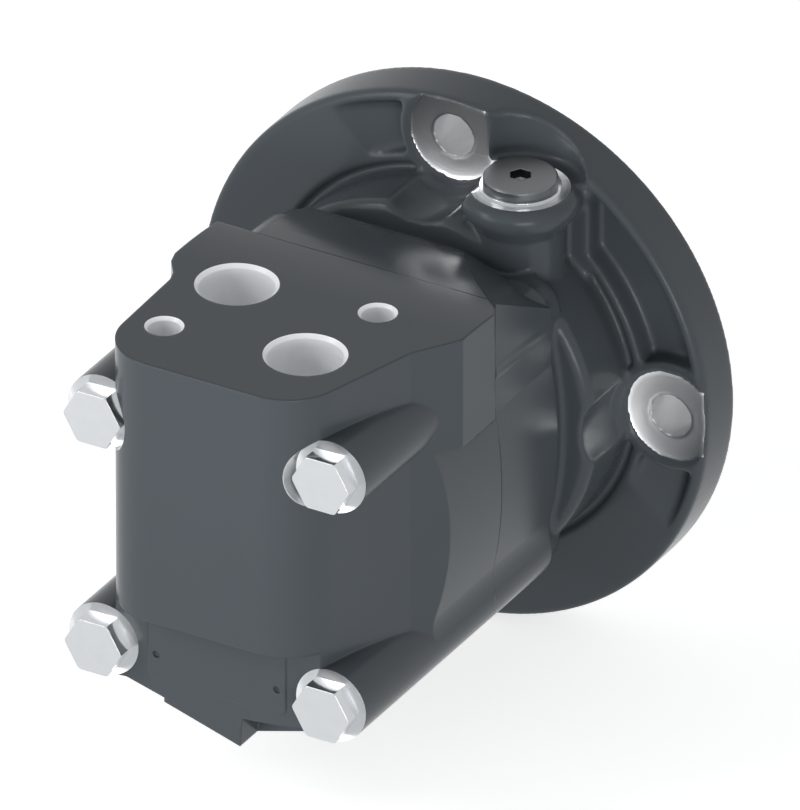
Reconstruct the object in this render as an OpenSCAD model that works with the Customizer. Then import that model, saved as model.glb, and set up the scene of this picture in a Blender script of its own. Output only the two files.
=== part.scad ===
// Orbital hydraulic motor with a round mounting flange, rear port tower and disc valve.
// Origin: centre of the flange's front mounting face. +Y is the shaft's output direction, +Z the ports.
// Units are millimetres.

/* [View] */
// Sub-part to draw, or all of them

/* [Flange] */
// Radius of the mounting flange
flange_r = 85.9; // [70:0.1:100]
// Thickness of the flange at its rim
flange_t = 18; // [12:0.5:24]
// Rounding of the rim's rear edge
rim_round = 1.6; // [0.5:0.1:3]
// Distance of the flange holes' circle from the rim
hole_inset = 12.1; // [10:0.1:16]
// Diameter of the flange holes
flange_hole_d = 13.2; // [9:0.1:16]
// Radius of the machined seat round a flange hole
seat_r = 15.6; // [12:0.1:20]
// Depth of the machined seat below the rear land
seat_drop = 1; // [0.5:0.1:3]
// Radius of the cast scallop that clears a wrench on the flange holes
scallop_r = 17.6; // [15:0.1:22]
// Width of the rim outside the rear annular pocket
pocket_rim = 2.9; // [2:0.1:6]
// Outer radius of the ridge inside the pocket
ridge_r = 65.6; // [60:0.1:70]
// Crest width of the ridge
ridge_w = 2.4; // [1.5:0.1:4]
// Depth of the annular pockets below the rear land
pocket_depth = 7; // [3:0.5:10]
// Depth of the gutter between the ridge and the hub
gutter_depth = 2.5; // [1:0.5:6]
// Middle of the outer pocket, turned from the right towards the top
pocket_turn = 46; // [30:1:60]
// Distance from the shaft axis at which the outer pocket begins to sink, towards its middle
pocket_fade_from = 22.9; // [10:0.1:40]
// Length over which the outer pocket sinks to its full depth
pocket_fade = 19.5; // [5:0.5:30]
// Radius of the locating pilot on the front face
pilot_r = 63.5; // [50:0.1:65]
// Length of the locating pilot
pilot_l = 7; // [4:0.5:12]
// Radius of the nose round the shaft seal
nose_r = 45; // [42:0.5:55]
// Front end of the nose ahead of the mounting face
nose_y = 15.5; // [12:0.5:25]

/* [Hub] */
// Radius of the hub between flange and gear section
hub_r = 60.4; // [55:0.1:64]
// Rear face of the hub behind the mounting face
hub_y = 40; // [30:0.5:45]
// Rounding of the hub's rear edge
hub_round = 3; // [1:0.5:5]

/* [Section] */
// Rear face of the wear plate's neighbour, the neck
front_seam_y = 46.2; // [40:0.1:60]
// Thickness of the wear plate
wear_t = 6.7; // [5:0.1:10]
// Thickness of the gear section
gear_t = 18; // [10:0.5:30]
// Thickness of the channel plate
channel_t = 8; // [6:0.5:12]
// Half spacing of the housing bolts across the square
bolt_half = 38.5; // [30:0.1:45]
// Radius of the cast tube round a housing bolt
tube_r = 11.7; // [9:0.1:14]
// Half width of the section across its bulged sides
side_half = 52.2; // [48:0.1:56]
// Radius of the bulged sides
side_arc = 137; // [100:1:200]
// Radius of the cast fillet between a bolt tube and a side
tube_fillet = 20; // [8:1:40]
// Width of the neck's inset
neck_inset = 2; // [0.5:0.1:4]

/* [Tower] */
// Height of the port face above the shaft axis
port_z = 64.5; // [55:0.5:80]
// Underside of the tower's rear overhang below the axis
tower_low = 22.2; // [10:0.1:30]
// Rear wall of the tower behind the mounting face
tower_y = 164.5; // [150:0.5:180]
// Lower end of the flared right wall above the axis
flare_low = 27.9; // [20:0.1:40]
// Distance of the flared right wall from the centre line
flare_x = 54.4; // [52:0.1:58]
// Front end of the flared right wall behind the mounting face
flare_y = 87.2; // [84:0.1:95]
// Corner radius of the tower's rear wall
tower_round = 18; // [10:0.5:22]
// Rear machined seats of the housing bolts
bolt_seat_y = 155.2; // [140:0.1:165]
// Pitch behind the mounting face of the port pattern
port_y = 123.5; // [110:0.1:140]
// Distance of each port from the pattern's centre line, across the shaft
port_dx = 19; // [15:0.1:25]
// Distance of each port from the pattern's centre, along the shaft
port_dy = 12.8; // [0:0.1:20]
// Tapped diameter of the main ports
port_d = 22.7; // [18:0.1:28]
// Depth of the tapped part of a port
port_l = 17; // [12:0.5:22]
// Diameter of the chamfer at a port's mouth
port_mouth_d = 25.1; // [22:0.1:30]
// Distance of each manifold hole from the centre line, across the shaft
tap_dx = 25; // [20:0.1:30]
// Distance of each manifold hole from the pattern's centre, along the shaft
tap_dy = 18.9; // [10:0.1:25]
// Tapped diameter of the manifold holes
tap_d = 9.8; // [8:0.1:12]
// Depth of the manifold holes
tap_l = 18; // [10:0.5:25]
// Diameter of the chamfer at a manifold hole's mouth
tap_mouth_d = 11.8; // [10:0.1:14]

/* [Rear pad] */
// Half width of the raised pad on the lower rear face
pad_half = 23.3; // [18:0.1:25]
// Upper edge of the pad below the shaft axis
pad_top = 24; // [23:0.1:28]
// Lower edge of the pad below the shaft axis
pad_low = 47; // [42:0.1:50]
// Rivet dimples' distance from the middle
pad_rivet_x = 20.4; // [15:0.1:21]
// Rivet dimples' distance below the shaft axis
pad_rivet_z = 38.5; // [32:0.1:42]

/* [Bolts] */
// Diameter of the housing bolts
bolt_d = 10; // [8:0.5:12]
// Width across flats of the bolt heads
bolt_af = 16.8; // [13:0.1:19]
// Height of the bolt heads
bolt_k = 6.4; // [5:0.1:8]
// Front ends of the bolts behind the mounting face
bolt_end_y = 25; // [20:0.5:35]

/* [Drain] */
// Drain boss axis, across the shaft
drain_x = 28.5; // [20:0.1:35]
// Drain boss axis behind the mounting face
drain_y = 27.1; // [20:0.1:35]
// Depth of the drain boss's machined seat below the top of the flange
drain_drop = 16.2; // [10:0.1:25]
// Radius of the drain boss's machined seat
drain_seat_r = 14.7; // [12:0.1:17]
// Outer radius of the drain boss's rounded rim
drain_rim_r = 18.4; // [16:0.1:22]
// Radius of the boss's column under the rim
drain_col_r = 13.5; // [12:0.1:18]
// Diameter of the drain plug's head
plug_d = 22.2; // [18:0.1:26]
// Height of the drain plug's head above its washer
plug_k = 3.2; // [2:0.1:5]
// Diameter of the drain plug's thread
plug_thread_d = 14; // [10:0.5:18]
// Thickness of the drain washer
washer_t = 1.2; // [0.8:0.1:2]

/* [Shaft] */
// Radius of the shaft extension
shaft_r = 16; // [12:0.25:20]
// Front end of the shaft ahead of the mounting face
shaft_y = 72; // [60:0.5:80]
// Radius of the shaft's seal collar
collar_r = 24; // [20:0.5:28]
// Radius of the bearing journals
journal_r = 20; // [18:0.5:22]
// Rear end of the shaft behind the mounting face
shaft_back_y = 44.6; // [40:0.1:45.5]
// Width of the shaft key
key_w = 10; // [6:0.5:12]
// Height of the shaft key
key_h = 8; // [5:0.5:10]
// Length of the shaft key
key_l = 45; // [30:1:48]
// Plain end of the shaft in front of the key
key_inset = 4; // [3:0.5:6]

/* [Bearings] */
// Outer radius of both bearing cups
cup_r = 36; // [34:0.5:38]
// Width of both bearings
bearing_w = 16; // [12:0.5:18]
// Rear bearing's inner face behind the mounting face
rear_web_y = 25; // [22:0.5:28]
// Front bearing's inner face behind the mounting face
front_web_y = 12; // [10:0.5:16]
// Mean radius of a bearing roller
roller_mid_r = 3; // [2:0.1:4]
// Tilt of the bearing rollers
roller_tilt = 13; // [8:0.5:16]
// Number of bearing rollers
roller_count = 18; // [12:1:22]

/* [Seals] */
// Inner face of the shaft seal ahead of the mounting face
seal_y = 4.6; // [4.2:0.1:5]
// Width of the shaft seal
seal_t = 6; // [4:0.1:6.1]
// Width of the retaining ring's groove
retainer_t = 2; // [1.5:0.1:2.2]
// Width of the dust seal
dust_t = 2.2; // [1.5:0.1:2.4]

/* [Gear set] */
// Radius of the circle that carries the stator rollers
ring_r = 33; // [28:0.1:38]
// Radius of a stator roller
roll_r = 7; // [5:0.1:9]
// Orbit radius of the rotor
orbit = 3; // [2:0.1:4]
// Radial gap of rollers in pockets, and of rotor to rollers
gear_gap = 0.05; // [0.02:0.01:0.1]

/* [Drive] */
// Pivot of the drive link in the shaft, behind the mounting face
shaft_pivot_y = 9; // [6:0.5:14]
// Pivot of the drive link in the rotor, behind the mounting face
rotor_pivot_y = 57; // [55:0.5:59]
// Pivot of the valve drive in the rotor, behind the mounting face
valve_drive_y = 66.5; // [64:0.5:67]
// Pivot of the valve drive in the disc valve, behind the mounting face
valve_pivot_y = 93; // [88:0.5:96]
// Outer radius of the spline teeth
spline_r = 12.2; // [10:0.1:14]
// Height of the spline teeth
spline_h = 2.4; // [1.5:0.1:3]
// Number of spline teeth
spline_n = 12; // [8:1:16]
// Side and top gap of the splines, which lets the links tilt
spline_gap = 0.4; // [0.2:0.05:0.6]

/* [Valve] */
// Radius of the disc valve
valve_r = 30.6; // [28:0.1:33]
// Rear face of the disc valve behind the mounting face
valve_back_y = 97; // [92:0.5:100]
// Radius of the valve chamber
chamber_r = 31.4; // [30:0.1:34]
// Rear end of the valve chamber behind the mounting face
chamber_y = 108; // [102:0.5:112]
// Radius of the circle that carries the two check balls
check_pcr = 38; // [36:0.1:39]
// Radius of the check valve bores
check_bore_r = 4.4; // [3.5:0.1:5]
// Radius of the check balls
check_ball_r = 3.4; // [2.5:0.1:4]
// Travel of the check balls
check_travel = 1.5; // [0.5:0.1:3]

/* [Hidden] */
$fn = 64;
bit = 0.02;
cut = 1;
running = 0.05;
press = 0.01;
seam_y = front_seam_y + wear_t + gear_t + channel_t;
gear_front_y = front_seam_y + wear_t;
gear_back_y = gear_front_y + gear_t;
hole_radius = flange_r - hole_inset;
pocket_out_r = flange_r - pocket_rim;
gutter_y = flange_t - gutter_depth;
key_y = shaft_y - key_inset - key_l;
seat_y = flange_t - seat_drop;
land_y = flange_t;
pocket_y = flange_t - pocket_depth;
drain_z = flange_r - drain_drop;
roller_pitch_r = (journal_r + cup_r) / 2 + 0.6;
web_bore_r = cup_r - 5;
retainer_groove_r = cup_r + 2.2;
seal_groove_r = ring_r + roll_r + 3.4;
seal_groove_w = 2.8;
keel_front_y = seam_y + 12;
back_clearance = 40;
check_hole_r = 2.1;
check_lift = sqrt(check_ball_r * check_ball_r - check_hole_r * check_hole_r);
check_rest_y = valve_back_y - 3 - check_lift - 0.03;
retainer_y = seal_y + seal_t + 0.2;
dust_y = retainer_y + retainer_t + 0.2;
blend_start_y = 104;
back_right_x = bolt_half + tube_r - 0.3;
blend_r = 181.6;
paint = [0.33, 0.35, 0.365];
bright = [0.8, 0.81, 0.82];
dark_steel = [0.3, 0.3, 0.31];
rubber = [0.08, 0.08, 0.08];
bronze = [0.72, 0.55, 0.3];

// Round bar along the shaft between two places behind the mounting face
module bar(radius, from_y, to_y) {
    translate([0, -from_y, 0])
        rotate([90, 0, 0]) cylinder(r = radius, h = to_y - from_y);
}

// Round bar along the shaft at one place of the cross-section
module bar_at(x, z, radius, from_y, to_y) {
    translate([x, 0, z]) bar(radius, from_y, to_y);
}

// Turned solid about the shaft axis; points are radius and distance behind the mounting face
module turned(points) {
    rotate([90, 0, 0]) rotate_extrude() polygon(points);
}

// Cross-section of x and z drawn out along the shaft
module along(from_y, to_y) {
    translate([0, -from_y, 0]) rotate([90, 0, 0]) linear_extrude(height = to_y - from_y) children();
}

// Places of the four housing bolts
module at_bolts() {
    for (sx = [-1, 1]) for (sz = [-1, 1])
        translate([sx * bolt_half, 0, sz * bolt_half]) children();
}

// Places of the four flange holes
module at_flange_holes() {
    for (turn = [0:90:270])
        rotate([0, turn, 0]) translate([hole_radius, 0, 0]) children();
}

// Bulged lens between two opposite sides
module lens(half, arc) {
    intersection() {
        translate([arc - half, 0]) circle(r = arc);
        translate([half - arc, 0]) circle(r = arc);
    }
}

// Concave fillet between the upper right bolt tube and the right-hand side
module side_fillet(inset) {
    side_x = side_half - inset - side_arc;
    side_reach = side_arc + tube_fillet;
    tube_reach = tube_r - inset + tube_fillet;
    gap_x = bolt_half - side_x;
    gap = sqrt(gap_x * gap_x + bolt_half * bolt_half);
    near = (side_reach * side_reach - tube_reach * tube_reach + gap * gap) / (2 * gap);
    aside = sqrt(side_reach * side_reach - near * near);
    x = side_x + (near * gap_x + aside * bolt_half) / gap;
    z = (near * bolt_half - aside * gap_x) / gap;
    to_side = (side_arc - 1) / side_reach;
    to_tube = (tube_r - inset - 1) / tube_reach;
    difference() {
        polygon([[x, z], [side_x + (x - side_x) * to_side, z * to_side], [bolt_half, bolt_half - tube_r],
            [bolt_half, bolt_half],
            [bolt_half + (x - bolt_half) * to_tube, bolt_half + (z - bolt_half) * to_tube]]);
        translate([x, z]) circle(r = tube_fillet + bit);
    }
}

// Rounded square of the gear section, seen along the shaft
module section_outline(inset = 0) {
    intersection() {
        lens(side_half - inset, side_arc);
        rotate([0, 0, 90]) lens(side_half - inset, side_arc);
    }
    for (sx = [-1, 1]) for (sz = [-1, 1])
        translate([sx * bolt_half, sz * bolt_half]) circle(r = tube_r - inset);
    for (turn = [0:90:270]) rotate([0, 0, turn]) {
        side_fillet(inset);
        mirror([0, 1]) side_fillet(inset);
    }
}

// Raised back that carries the tower's top forward over the gear section
module top_back_outline() {
    polygon([[-44, 30], [-41, 47], [-33, 53], [-29, 70], [back_right_x, 70], [back_right_x, 20]]);
}

// Everything under the slope that falls from the flared corner to the right front of the raised back
module under_slope() {
    reach = 4 * port_z;
    translate([flare_x, -flare_y, port_z]) rotate([-26.9, 20.7, 0])
        translate([-reach / 2, -reach / 2, -reach]) cube(reach);
}

// Large roller that the raised back is trimmed to
module blend_roll() {
    union() {
        translate([-80, -blend_start_y, port_z - blend_r])
            rotate([0, 90, 0]) cylinder(r = blend_r, h = 160, $fn = 128);
        translate([-80, -blend_start_y - 80, -100]) cube([160, 80, 100 + port_z]);
    }
}

// One slice of the gear section with its raised back
module section_slice(from_y, to_y) {
    along(from_y, to_y) section_outline();
    intersection() {
        along(from_y, to_y) top_back_outline();
        blend_roll();
        under_slope();
    }
}

// Through holes of the housing bolts
module bolt_holes(from_y, to_y) {
    at_bolts() bar(bolt_d / 2 + 0.3, from_y, to_y);
}

// Plan of the port tower, seen from above
module tower_plan() {
    rear_y = tower_round - tower_y;
    translate([-18.4, rear_y]) circle(r = tower_round);
    translate([19, rear_y]) circle(r = tower_round);
    translate([-18.4, -tower_y]) square([37.4, 60]);
    polygon([[-36.4, rear_y], [-37.4, -118], [-38.6, -114], [-42.6, -108.4], [-43.9, -104],
        [-44.1, -86], [-44.1, -seam_y], [back_right_x, -seam_y], [flare_x, -flare_y],
        [flare_x, -106], [45.3, -120.3], [36.3, -151.5], [30, -150]]);
}

// Underside pad of the port housing, seen along the shaft
module keel_outline() {
    polygon([[-33, -30], [-32.8, -48.6], [-18, -52.6], [-18, -54], [7.7, -61.6], [10, -30]]);
}

// Slightly raised pad on the lower rear face
module pad_outline() {
    round = 3;
    for (x = [-pad_half + round, pad_half - round]) for (z = [-pad_top - round, -pad_low + round])
        translate([x, z]) circle(r = round);
    translate([-pad_half, -pad_low + round]) square([2 * pad_half, pad_low - pad_top - 2 * round]);
    translate([-pad_half + round, -pad_low]) square([2 * (pad_half - round), pad_low - pad_top]);
}

// Right-hand part of the underside pad
module keel_right_outline() {
    polygon([[5, -30], [5, -62.3], [7.7, -61.6], [27, -56], [38, -40], [38, -30]]);
}

// Bulged sides, and the free space above them that the flared wall reaches into
module tower_limit() {
    along(seam_y - cut, tower_y + cut) {
        lens(side_half - 0.4, side_arc);
        translate([-2 * side_half, flare_low]) square([4 * side_half, 2 * port_z]);
    }
}

// Cast body of the port housing before machining
module port_casting() {
    intersection() {
        union() {
            intersection() {
                translate([0, 0, -tower_low]) linear_extrude(height = port_z + tower_low) tower_plan();
                tower_limit();
            }
            along(seam_y, seam_y + 22) top_back_outline();
        }
        blend_roll();
        under_slope();
    }
    intersection() {
        translate([0, 0, -60]) linear_extrude(height = 120) tower_plan();
        along(seam_y, bolt_seat_y) section_outline();
    }
    along(seam_y, seam_y + 22) section_outline();
    at_bolts() bar(tube_r, seam_y, bolt_seat_y);
    along(keel_front_y, bolt_seat_y) keel_outline();
    along(keel_front_y, bolt_seat_y - 10.2) keel_right_outline();
    along(bolt_seat_y - cut, bolt_seat_y + 0.4) pad_outline();
}

// Tapped hole with a chamfered mouth in the port face
module port_hole(x, y, diameter, mouth, depth) {
    lip = (mouth - diameter) / 2;
    translate([x, -y, port_z - depth]) cylinder(d = diameter, h = depth + cut);
    translate([x, -y, port_z - lip]) cylinder(d1 = diameter, d2 = mouth + 2 * cut, h = lip + cut);
}

module port_housing() {
    color(paint) difference() {
        port_casting();
        at_bolts() bar(tube_r, bolt_seat_y, bolt_seat_y + back_clearance);
        bolt_holes(seam_y - cut, bolt_seat_y + cut);
        port_hole(-port_dx, port_y - port_dy, port_d, port_mouth_d, port_l);
        port_hole(port_dx, port_y + port_dy, port_d, port_mouth_d, port_l);
        port_hole(-tap_dx, port_y + tap_dy, tap_d, tap_mouth_d, tap_l);
        port_hole(tap_dx, port_y - tap_dy, tap_d, tap_mouth_d, tap_l);
        bar(chamber_r, seam_y - cut, chamber_y);
        // Gallery of the first port to the outer chamber
        translate([-port_dx, port_dy - port_y, 22]) cylinder(r = 7, h = port_z - 22 - port_l + cut);
        bar_at(-port_dx, 22, 5, chamber_y - cut, port_y - port_dy);
        // Gallery of the second port to the inner chamber
        translate([port_dx, -port_dy - port_y, 8]) cylinder(r = 7, h = port_z - 8 - port_l + cut);
        bar_at(10, 8, 5, chamber_y - cut, port_y + port_dy);
        translate([0, -port_dy - port_y, 8]) rotate([0, 90, 0]) cylinder(r = 5, h = port_dx);
        check_places() bar(check_bore_r, seam_y - cut, valve_back_y + 2);
        check_places() bar(2, valve_back_y + 1, chamber_y);
        seal_groove(seam_y);
        // Rivet dimples in the bare pad
        for (side = [-1, 1])
            bar_at(side * pad_rivet_x, -pad_rivet_z, 1.2, bolt_seat_y - 0.6, bolt_seat_y + cut);
    }
}

// Places of the two check valves
module check_places() {
    for (turn = [-20, 20])
        rotate([0, turn, 0]) translate([0, 0, -check_pcr]) children();
}

// Groove of a section seal, cut into the part behind a seam
module seal_groove(from_y) {
    difference() {
        bar(seal_groove_r + seal_groove_w, from_y - cut, from_y + 1.5);
        bar(seal_groove_r, from_y - 2 * cut, from_y + 3);
    }
}

module channel_plate() {
    color(dark_steel) difference() {
        section_slice(gear_back_y, seam_y);
        bolt_holes(gear_back_y - cut, seam_y + cut);
        bar(12, gear_back_y - cut, seam_y + cut);
        // Seven timed passages to the gear chambers
        for (turn = [0:6])
            rotate([0, (turn + 0.5) * 360 / 7, 0])
                bar_at(0, 25.5, 2.6, gear_back_y - cut, seam_y + cut);
        check_places() bar(2, gear_back_y - cut, seam_y + cut);
        seal_groove(gear_back_y);
    }
}

module stator_ring() {
    color(dark_steel) difference() {
        section_slice(gear_front_y, gear_back_y);
        bolt_holes(gear_front_y - cut, gear_back_y + cut);
        bar(ring_r - 0.4, gear_front_y - cut, gear_back_y + cut);
        for (turn = [0:6])
            rotate([0, turn * 360 / 7, 0])
                bar_at(0, ring_r, roll_r + gear_gap, gear_front_y - cut, gear_back_y + cut);
        seal_groove(gear_front_y);
    }
}

module wear_plate() {
    color(dark_steel) difference() {
        section_slice(front_seam_y, gear_front_y);
        bolt_holes(front_seam_y - cut, gear_front_y + cut);
        bar(17.5, front_seam_y - cut, gear_front_y + cut);
        seal_groove(front_seam_y);
    }
}

// Turned blank of the flange with its rear pockets
module flange_blank() {
    edge = flange_r - rim_round;
    turned([[0, land_y], [edge, land_y], [edge + rim_round * 0.7, land_y - rim_round * 0.3],
        [flange_r, land_y - rim_round], [flange_r, 1], [flange_r - 1, 0], [pilot_r, 0],
        [pilot_r, -pilot_l + 1], [pilot_r - 1, -pilot_l], [nose_r + 2, -pilot_l],
        [nose_r, -nose_y], [0, -nose_y]]);
}

// Annular pocket outside the ridge, over the upper part only
module outer_pocket() {
    slope = pocket_fade / pocket_depth;
    difference() {
        turned([[ridge_r, land_y + cut], [ridge_r + 0.8, pocket_y], [pocket_out_r - 4, pocket_y],
            [pocket_out_r, land_y], [pocket_out_r, land_y + cut]]);
        // Floor rises to the land at both ends of the pocket, and the rest stays solid
        rotate([0, -pocket_turn, 0]) translate([0, 0, -2 * flange_r])
            linear_extrude(height = 4 * flange_r)
                polygon([[pocket_fade_from - 3 * cut * slope, -land_y - 3 * cut],
                    [pocket_fade_from + pocket_fade, -pocket_y], [pocket_fade_from + pocket_fade, 0],
                    [-2 * flange_r, 0], [-2 * flange_r, -land_y - 3 * cut]]);
        at_flange_holes() bar(seat_r + 2.4, 0, land_y + 3);
    }
}

// Shallow gutter between the ridge and the hub
module inner_pocket() {
    difference() {
        turned([[hub_r - 3, land_y + cut], [hub_r - 3, gutter_y], [ridge_r - ridge_w - 1.4, gutter_y],
            [ridge_r - ridge_w, land_y], [ridge_r - ridge_w, land_y + cut]]);
        at_flange_holes() bar(seat_r + 3, 0, land_y + 3);
    }
}

// Hub with a rounded rear edge and the neck behind it
module hub() {
    turned([[0, land_y - 8], [hub_r - 1.5, land_y - 8], [hub_r, land_y + 4], [hub_r, hub_y - hub_round],
        [hub_r - 0.13 * hub_round, hub_y - 0.5 * hub_round],
        [hub_r - 0.5 * hub_round, hub_y - 0.13 * hub_round], [hub_r - hub_round, hub_y], [0, hub_y]]);
    along(hub_y - hub_round, front_seam_y) intersection() {
        section_outline(neck_inset);
        circle(r = hub_r + 4);
    }
}

// Vertical boss that carries the drain plug
module drain_boss() {
    rim = 3;
    block_z = 36;
    translate([drain_x, -drain_y, 0]) {
        translate([0, 0, 30]) cylinder(r = drain_col_r, h = drain_z - 30);
        rotate_extrude() polygon([[0, drain_z - 12], [drain_col_r, drain_z - 12],
            [drain_rim_r - 0.8, drain_z - 6.5], [drain_rim_r, drain_z - 4.5], [drain_rim_r, drain_z - rim],
            [drain_rim_r - 0.15 * rim, drain_z - 0.5 * rim], [drain_rim_r - 0.5 * rim, drain_z - 0.15 * rim],
            [drain_rim_r - rim, drain_z], [0, drain_z]]);
    }
    // Block that joins the boss to the flange
    translate([10, -land_y, block_z]) cube([36.3, land_y - 4, drain_z + 10 - block_z]);
}

module front_housing() {
    color(paint) difference() {
        union() {
            difference() {
                flange_blank();
                outer_pocket();
                inner_pocket();
            }
            hub();
            intersection() {
                drain_boss();
                bar(flange_r, 0.5, 60);
            }
        }
        // Wrench scallops and machined seats of the flange holes
        at_flange_holes() bar(scallop_r, land_y + 2.5, hub_y + 10);
        at_flange_holes() bar(seat_r, seat_y, land_y + 6);
        at_flange_holes() bar(flange_hole_d / 2, -cut, land_y + cut);
        // Round sink over the drain boss, cut into the rim
        translate([drain_x, -drain_y, drain_z]) cylinder(r = drain_rim_r + 0.6, h = 40);
        // Machined drain seat and its tapped hole
        translate([drain_x, -drain_y, drain_z - 0.4]) cylinder(r = drain_seat_r, h = 2);
        translate([drain_x, -drain_y, 30]) cylinder(d = plug_thread_d, h = drain_z);
        // Tapped holes of the housing bolts
        at_bolts() bar(bolt_d / 2 + press, bolt_end_y - 2, front_seam_y + cut);
        // Stepped bore for link, bearings and seals
        turned([[0, front_seam_y + cut], [cup_r + press, front_seam_y + cut], [cup_r + press, rear_web_y],
            [web_bore_r, rear_web_y], [web_bore_r, front_web_y], [cup_r + press, front_web_y],
            [cup_r + press, -nose_y - cut], [0, -nose_y - cut]]);
        turned([[cup_r - 6, -retainer_y], [retainer_groove_r, -retainer_y],
            [retainer_groove_r, -retainer_y - retainer_t], [cup_r - 6, -retainer_y - retainer_t]]);
    }
}

// One hexagon bolt with a chamfered head, shank towards the shaft end
module hex_bolt() {
    corner_r = bolt_af / 2 / cos(30);
    intersection() {
        translate([0, -bolt_seat_y, 0]) rotate([90, 0, 0]) cylinder(r = corner_r, h = bolt_k, $fn = 6);
        turned([[0, bolt_seat_y], [corner_r, bolt_seat_y], [corner_r, bolt_seat_y + bolt_k - 0.25],
            [corner_r - 0.4, bolt_seat_y + bolt_k], [0, bolt_seat_y + bolt_k]]);
    }
    turned([[0, bolt_end_y], [bolt_d / 2 - 1, bolt_end_y], [bolt_d / 2, bolt_end_y + 1],
        [bolt_d / 2, bolt_seat_y], [0, bolt_seat_y]]);
}

module housing_bolts() {
    color(bright) at_bolts() hex_bolt();
}

module drain_plug() {
    head_z = drain_z - 0.4 + washer_t;
    color(dark_steel) translate([drain_x, -drain_y, 0]) difference() {
        union() {
            rotate_extrude() polygon([[0, head_z], [plug_d / 2, head_z], [plug_d / 2, head_z + plug_k - 0.6],
                [plug_d / 2 - 0.6, head_z + plug_k], [0, head_z + plug_k]]);
            translate([0, 0, head_z - 13]) cylinder(d = plug_thread_d - 0.02, h = 13);
        }
        translate([0, 0, head_z - 3]) cylinder(d = 6 / cos(30), h = 20, $fn = 6);
    }
}

module drain_washer() {
    color(bright) translate([drain_x, -drain_y, drain_z - 0.4]) difference() {
        cylinder(r = plug_d / 2 + 1, h = washer_t);
        translate([0, 0, -cut]) cylinder(d = plug_thread_d + 0.1, h = washer_t + 2 * cut);
    }
}

// Radius on a raceway cone at one distance from the roller mid plane, growing towards the large end
function race_r(side, away) = let (
    reach = roller_pitch_r / sin(roller_tilt),
    half = asin(roller_mid_r / reach),
    apex = reach * cos(roller_tilt) + away) apex * tan(roller_tilt + side * half);

// Turned ring of a bearing, drawn from its inner face at zero towards its open end
module bearing_cup() {
    mid = bearing_w / 2;
    turned([[cup_r, 0], [cup_r, bearing_w - 2], [race_r(1, bearing_w - 2 - mid), bearing_w - 2],
        [race_r(1, -mid), 0]]);
}

module bearing_cone() {
    mid = bearing_w / 2;
    small = 1.6;
    turned([[journal_r + press, small], [race_r(-1, small - mid), small],
        [race_r(-1, mid - 1.7), bearing_w - 1.7], [race_r(-1, mid) + 2, bearing_w - 1.7],
        [race_r(-1, mid) + 2, bearing_w], [journal_r + press, bearing_w]]);
}

// One tapered roller, a little smaller than its races
module one_roller(extra) {
    span = bearing_w - 5.4;
    grow = roller_mid_r / (roller_pitch_r / sin(roller_tilt)) * span / 2;
    translate([roller_pitch_r, 0, 0]) rotate([90 , 0, 0]) rotate([0, roller_tilt, 0])
        translate([0, 0, -span / 2 - extra])
            cylinder(r1 = roller_mid_r - running - grow + extra, r2 = roller_mid_r - running + grow + extra,
                h = span + 2 * extra);
}

module roller_row(extra) {
    translate([0, -bearing_w / 2 + 0.2, 0])
        for (turn = [0:roller_count - 1])
            rotate([0, turn * 360 / roller_count, 0]) one_roller(extra);
}

module bearing_cage() {
    mid = bearing_w / 2;
    thick = 1.1;
    function mid_r(at) = race_r(0, at - mid);
    color(bronze) difference() {
        turned([[mid_r(0.6) - thick / 2, 0.6], [mid_r(0.6) + thick / 2, 0.6],
            [mid_r(bearing_w - 0.4) + thick / 2, bearing_w - 0.4],
            [mid_r(bearing_w - 0.4) - thick / 2, bearing_w - 0.4]]);
        roller_row(0.15);
    }
}

// Bearing part at the rear web, opening rearward
module at_rear() {
    translate([0, -rear_web_y, 0]) children();
}

// Bearing part at the front web, opening forward
module at_front() {
    translate([0, -front_web_y, 0]) mirror([0, 1, 0]) children();
}

module bearing_cup_front() { color(bright) at_front() bearing_cup(); }
module bearing_cup_rear() { color(bright) at_rear() bearing_cup(); }
module bearing_cone_front() { color(bright) at_front() bearing_cone(); }
module bearing_cone_rear() { color(bright) at_rear() bearing_cone(); }
module bearing_rollers_front() { color(bright) at_front() roller_row(0); }
module bearing_rollers_rear() { color(bright) at_rear() roller_row(0); }
module bearing_cage_front() { at_front() bearing_cage(); }
module bearing_cage_rear() { at_rear() bearing_cage(); }

module shaft_seal() {
    color(rubber) turned([[cup_r, -seal_y], [cup_r, -seal_y - seal_t], [cup_r - 8, -seal_y - seal_t],
        [collar_r + 0.05, -seal_y - seal_t + 2], [collar_r + 0.05, -seal_y - 1],
        [cup_r - 6, -seal_y]]);
}

module seal_retainer() {
    color(dark_steel) difference() {
        turned([[web_bore_r, -retainer_y], [retainer_groove_r - 0.2, -retainer_y],
            [retainer_groove_r - 0.2, -retainer_y - retainer_t + 0.2],
            [web_bore_r, -retainer_y - retainer_t + 0.2]]);
        translate([-3, 0, 0]) cube([6, 20, retainer_groove_r + 7]);
    }
}

module dust_seal() {
    color(rubber) turned([[cup_r, -dust_y], [cup_r, -dust_y - dust_t], [collar_r + 3, -dust_y - dust_t],
        [collar_r + 0.05, -dust_y - 1.4], [collar_r + 0.05, -dust_y]]);
}

module section_seals() {
    inner = seal_groove_r + 0.1;
    outer = seal_groove_r + seal_groove_w - 0.1;
    color(rubber) for (at = [front_seam_y, gear_front_y, gear_back_y, seam_y])
        turned([[inner, at], [outer, at], [outer, at + 1.4], [inner, at + 1.4]]);
}

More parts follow.
